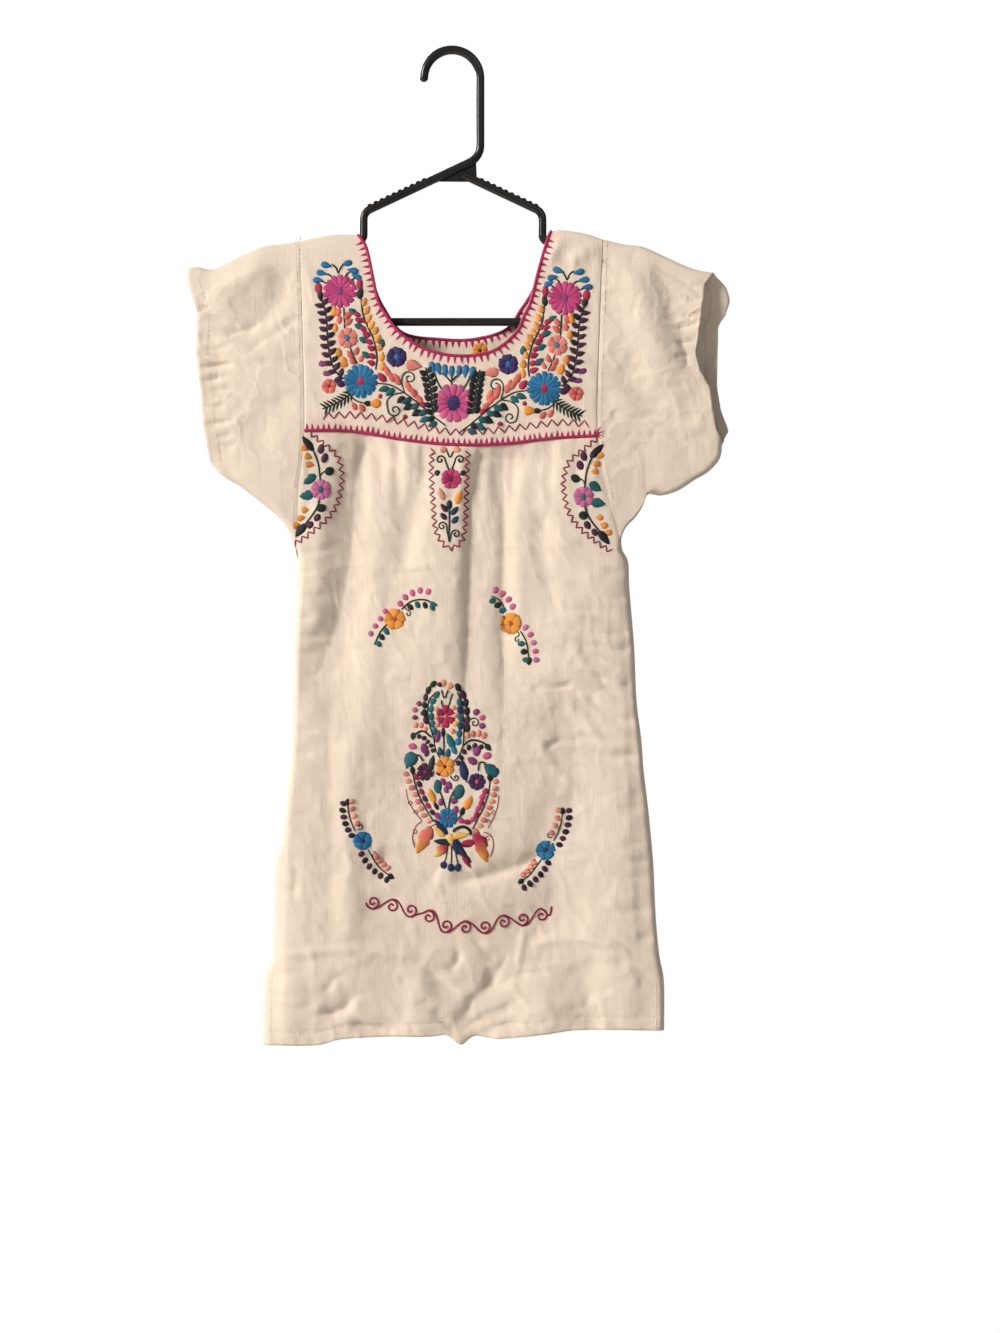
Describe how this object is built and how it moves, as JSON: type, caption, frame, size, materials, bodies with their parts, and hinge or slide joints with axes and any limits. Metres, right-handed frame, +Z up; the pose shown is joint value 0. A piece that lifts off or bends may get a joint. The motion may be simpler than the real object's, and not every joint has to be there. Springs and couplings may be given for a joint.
{
  "type": "embroidered dress on a hanger",
  "caption": "Child's short cream cotton dress with an embroidered yoke and motifs, hanging on a black tubular plastic hanger.",
  "frame": {"origin": "inner crown of the hanger's hook, where a wall screw or rail carries it", "axes": "+Z up, +X to the right of a viewer who faces the front of the dress, -Y out of its front and +Y towards the wall"},
  "size_m": [0.4545, 0.0416, 0.8371],
  "materials": {
    "cotton_front": "plain weave cotton with raised stitching",
    "cotton_back": "plain weave cotton",
    "cotton_sleeve": "plain weave cotton",
    "black_plastic": "satin moulded plastic"
  },
  "bodies": {
    "root": {"hanger": "black_plastic", "front_yoke": "cotton_front", "back_yoke": "cotton_back", "front_body": "cotton_front", "back_body": "cotton_back", "sleeve_left": "cotton_sleeve", "sleeve_right": "cotton_sleeve"}
  },
  "joints": []
}
